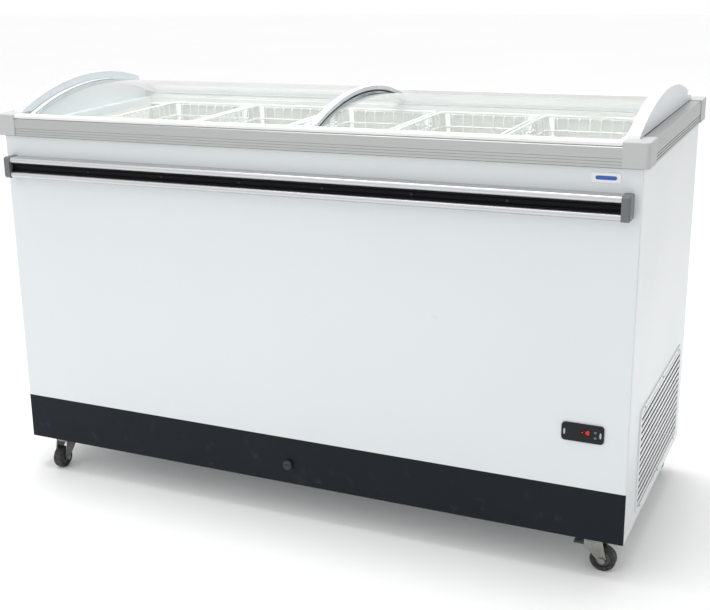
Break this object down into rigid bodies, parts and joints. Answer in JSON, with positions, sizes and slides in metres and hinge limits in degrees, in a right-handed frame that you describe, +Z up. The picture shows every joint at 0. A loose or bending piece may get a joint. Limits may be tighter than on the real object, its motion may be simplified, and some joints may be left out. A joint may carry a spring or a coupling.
{
  "type": "chest freezer",
  "caption": "Chest freezer with curved sliding glass lids, an aluminium top frame, hanging baskets, a front bumper and swivel casters.",
  "frame": {"origin": "on the floor under the middle of the outer box", "axes": "+X along the front to the right-hand end with the grille, +Y from the front to the rear, +Z up"},
  "size_m": [1.402, 0.623, 0.902],
  "materials": {
    "white_paint": "satin",
    "kick_paint": "satin",
    "zinc_sheet": "satin",
    "insulation_foam": "matte",
    "liner_sheet": "satin",
    "cooling_tube": "satin",
    "frame_aluminium": "satin",
    "white_moulding": "satin",
    "lid_moulding": "satin",
    "cap_moulding": "satin",
    "track_moulding": "satin",
    "lid_glass": "gloss",
    "bumper_aluminium": "satin",
    "bumper_strip": "satin",
    "bumper_cap_plastic": "satin",
    "screw_steel": "gloss",
    "badge_plate": "gloss",
    "controller_plastic": "gloss",
    "display_window": "gloss",
    "key_plastic": "satin",
    "black_plastic": "satin",
    "drain_plastic": "satin",
    "grille_paint": "satin",
    "compressor_paint": "satin",
    "coil_aluminium": "satin",
    "basket_coating": "satin",
    "zinc_plate": "satin",
    "wheel_rubber": "matte"
  },
  "bodies": {
    "cabinet": {"front_panel": "white_paint", "left_side_panel": "white_paint", "right_side_panel": "white_paint", "rear_panel": "white_paint", "base_tray": "zinc_sheet", "kick_plate": "kick_paint", "side_grille": "grille_paint", "foam_insulation": "insulation_foam", "evaporator_tube": "cooling_tube", "liner_walls": "liner_sheet", "liner_floor": "liner_sheet", "drain_tube": "drain_plastic", "frame_front_rail": "frame_aluminium", "frame_rear_rail": "frame_aluminium", "frame_left_rail": "frame_aluminium", "frame_right_rail": "frame_aluminium", "corner_caps": "cap_moulding", "front_lid_track": "track_moulding", "rear_lid_track": "track_moulding", "left_arch": "white_moulding", "right_arch": "white_moulding", "bumper_rail": "bumper_aluminium", "bumper_insert": "bumper_strip", "bumper_screws": "screw_steel", "bumper_end_caps": "bumper_cap_plastic", "name_badge": "badge_plate", "controller_body": "controller_plastic", "controller_window": "display_window", "controller_screw_caps": "key_plastic", "compressor": "compressor_paint", "condenser": "coil_aluminium", "fan_motor": "black_plastic", "power_gland": "black_plastic", "caster_plates": "zinc_plate"},
    "left_lid": {"left_lid_glass": "lid_glass", "left_lid_runners": "lid_moulding", "left_lid_stiles": "lid_moulding", "left_lid_grip": "lid_moulding"},
    "right_lid": {"right_lid_glass": "lid_glass", "right_lid_runners": "lid_moulding", "right_lid_stiles": "lid_moulding"},
    "drain_plug": {"drain_plug": "black_plastic"},
    "fan_blade": {"fan_blade": "black_plastic"},
    "controller_set_key": {"controller_set_key": "key_plastic"},
    "controller_power_key": {"controller_power_key": "key_plastic"},
    "basket_1": {"basket_1": "basket_coating"},
    "basket_2": {"basket_2": "basket_coating"},
    "basket_3": {"basket_3": "basket_coating"},
    "basket_4": {"basket_4": "basket_coating"},
    "basket_5": {"basket_5": "basket_coating"},
    "caster_front_left": {"caster_fork_front_left": "zinc_plate"},
    "wheel_front_left": {"caster_wheel_front_left": "wheel_rubber"},
    "caster_front_right": {"caster_fork_front_right": "zinc_plate"},
    "wheel_front_right": {"caster_wheel_front_right": "wheel_rubber"},
    "caster_rear_left": {"caster_fork_rear_left": "zinc_plate"},
    "wheel_rear_left": {"caster_wheel_rear_left": "wheel_rubber"},
    "caster_rear_right": {"caster_fork_rear_right": "zinc_plate"},
    "wheel_rear_right": {"caster_wheel_rear_right": "wheel_rubber"},
    "pedal_front_left": {"brake_pedal_front_left": "black_plastic"},
    "pedal_front_right": {"brake_pedal_front_right": "black_plastic"}
  },
  "joints": [
    {"name": "left_lid_slide", "type": "slide", "parent": "cabinet", "child": "left_lid", "axis": [1, 0, 0], "range_m": [0, 0.6]},
    {"name": "right_lid_slide", "type": "slide", "parent": "cabinet", "child": "right_lid", "axis": [-1, 0, 0], "range_m": [0, 0.68]},
    {"name": "drain_plug_pull", "type": "slide", "parent": "cabinet", "child": "drain_plug", "axis": [0, -1, 0], "range_m": [0, 0.03]},
    {"name": "condenser_fan_spin", "type": "hinge", "parent": "cabinet", "child": "fan_blade", "pos_m": [0.585, -0.1175, 0.2], "axis": [0, 1, 0], "continuous": true},
    {"name": "controller_set_key_press", "type": "slide", "parent": "cabinet", "child": "controller_set_key", "axis": [0, 1, 0], "range_m": [0, 0.001], "stiffness_N_per_m": 400},
    {"name": "controller_power_key_press", "type": "slide", "parent": "cabinet", "child": "controller_power_key", "axis": [0, 1, 0], "range_m": [0, 0.001], "stiffness_N_per_m": 400},
    {"name": "basket_1_lift", "type": "slide", "parent": "cabinet", "child": "basket_1", "axis": [0, 0, 1], "range_m": [0, 0.012]},
    {"name": "basket_2_lift", "type": "slide", "parent": "cabinet", "child": "basket_2", "axis": [0, 0, 1], "range_m": [0, 0.012]},
    {"name": "basket_3_lift", "type": "slide", "parent": "cabinet", "child": "basket_3", "axis": [0, 0, 1], "range_m": [0, 0.012]},
    {"name": "basket_4_lift", "type": "slide", "parent": "cabinet", "child": "basket_4", "axis": [0, 0, 1], "range_m": [0, 0.012]},
    {"name": "basket_5_lift", "type": "slide", "parent": "cabinet", "child": "basket_5", "axis": [0, 0, 1], "range_m": [0, 0.012]},
    {"name": "caster_front_left_swivel", "type": "hinge", "parent": "cabinet", "child": "caster_front_left", "pos_m": [-0.628, -0.2345, 0.07], "axis": [0, 0, 1], "continuous": true},
    {"name": "wheel_front_left_roll", "type": "hinge", "parent": "caster_front_left", "child": "wheel_front_left", "pos_m": [-0.628, -0.2525, 0.025], "axis": [1, 0, 0], "continuous": true},
    {"name": "brake_pedal_front_left_press", "type": "hinge", "parent": "caster_front_left", "child": "pedal_front_left", "pos_m": [-0.628, -0.221, 0.055], "axis": [-1, 0, 0], "range_deg": [0, 15]},
    {"name": "caster_front_right_swivel", "type": "hinge", "parent": "cabinet", "child": "caster_front_right", "pos_m": [0.628, -0.2345, 0.07], "axis": [0, 0, 1], "continuous": true},
    {"name": "wheel_front_right_roll", "type": "hinge", "parent": "caster_front_right", "child": "wheel_front_right", "pos_m": [0.646, -0.2345, 0.025], "axis": [0, 1, 0], "continuous": true},
    {"name": "brake_pedal_front_right_press", "type": "hinge", "parent": "caster_front_right", "child": "pedal_front_right", "pos_m": [0.6145, -0.2345, 0.055], "axis": [0, -1, 0], "range_deg": [0, 15]},
    {"name": "caster_rear_left_swivel", "type": "hinge", "parent": "cabinet", "child": "caster_rear_left", "pos_m": [-0.628, 0.2555, 0.07], "axis": [0, 0, 1], "continuous": true},
    {"name": "wheel_rear_left_roll", "type": "hinge", "parent": "caster_rear_left", "child": "wheel_rear_left", "pos_m": [-0.62334, 0.27289, 0.025], "axis": [-0.9659, 0.2588, 0], "continuous": true},
    {"name": "caster_rear_right_swivel", "type": "hinge", "parent": "cabinet", "child": "caster_rear_right", "pos_m": [0.628, 0.2555, 0.07], "axis": [0, 0, 1], "continuous": true},
    {"name": "wheel_rear_right_roll", "type": "hinge", "parent": "caster_rear_right", "child": "wheel_rear_right", "pos_m": [0.64491, 0.26166, 0.025], "axis": [-0.342, 0.9397, 0], "continuous": true}
  ]
}
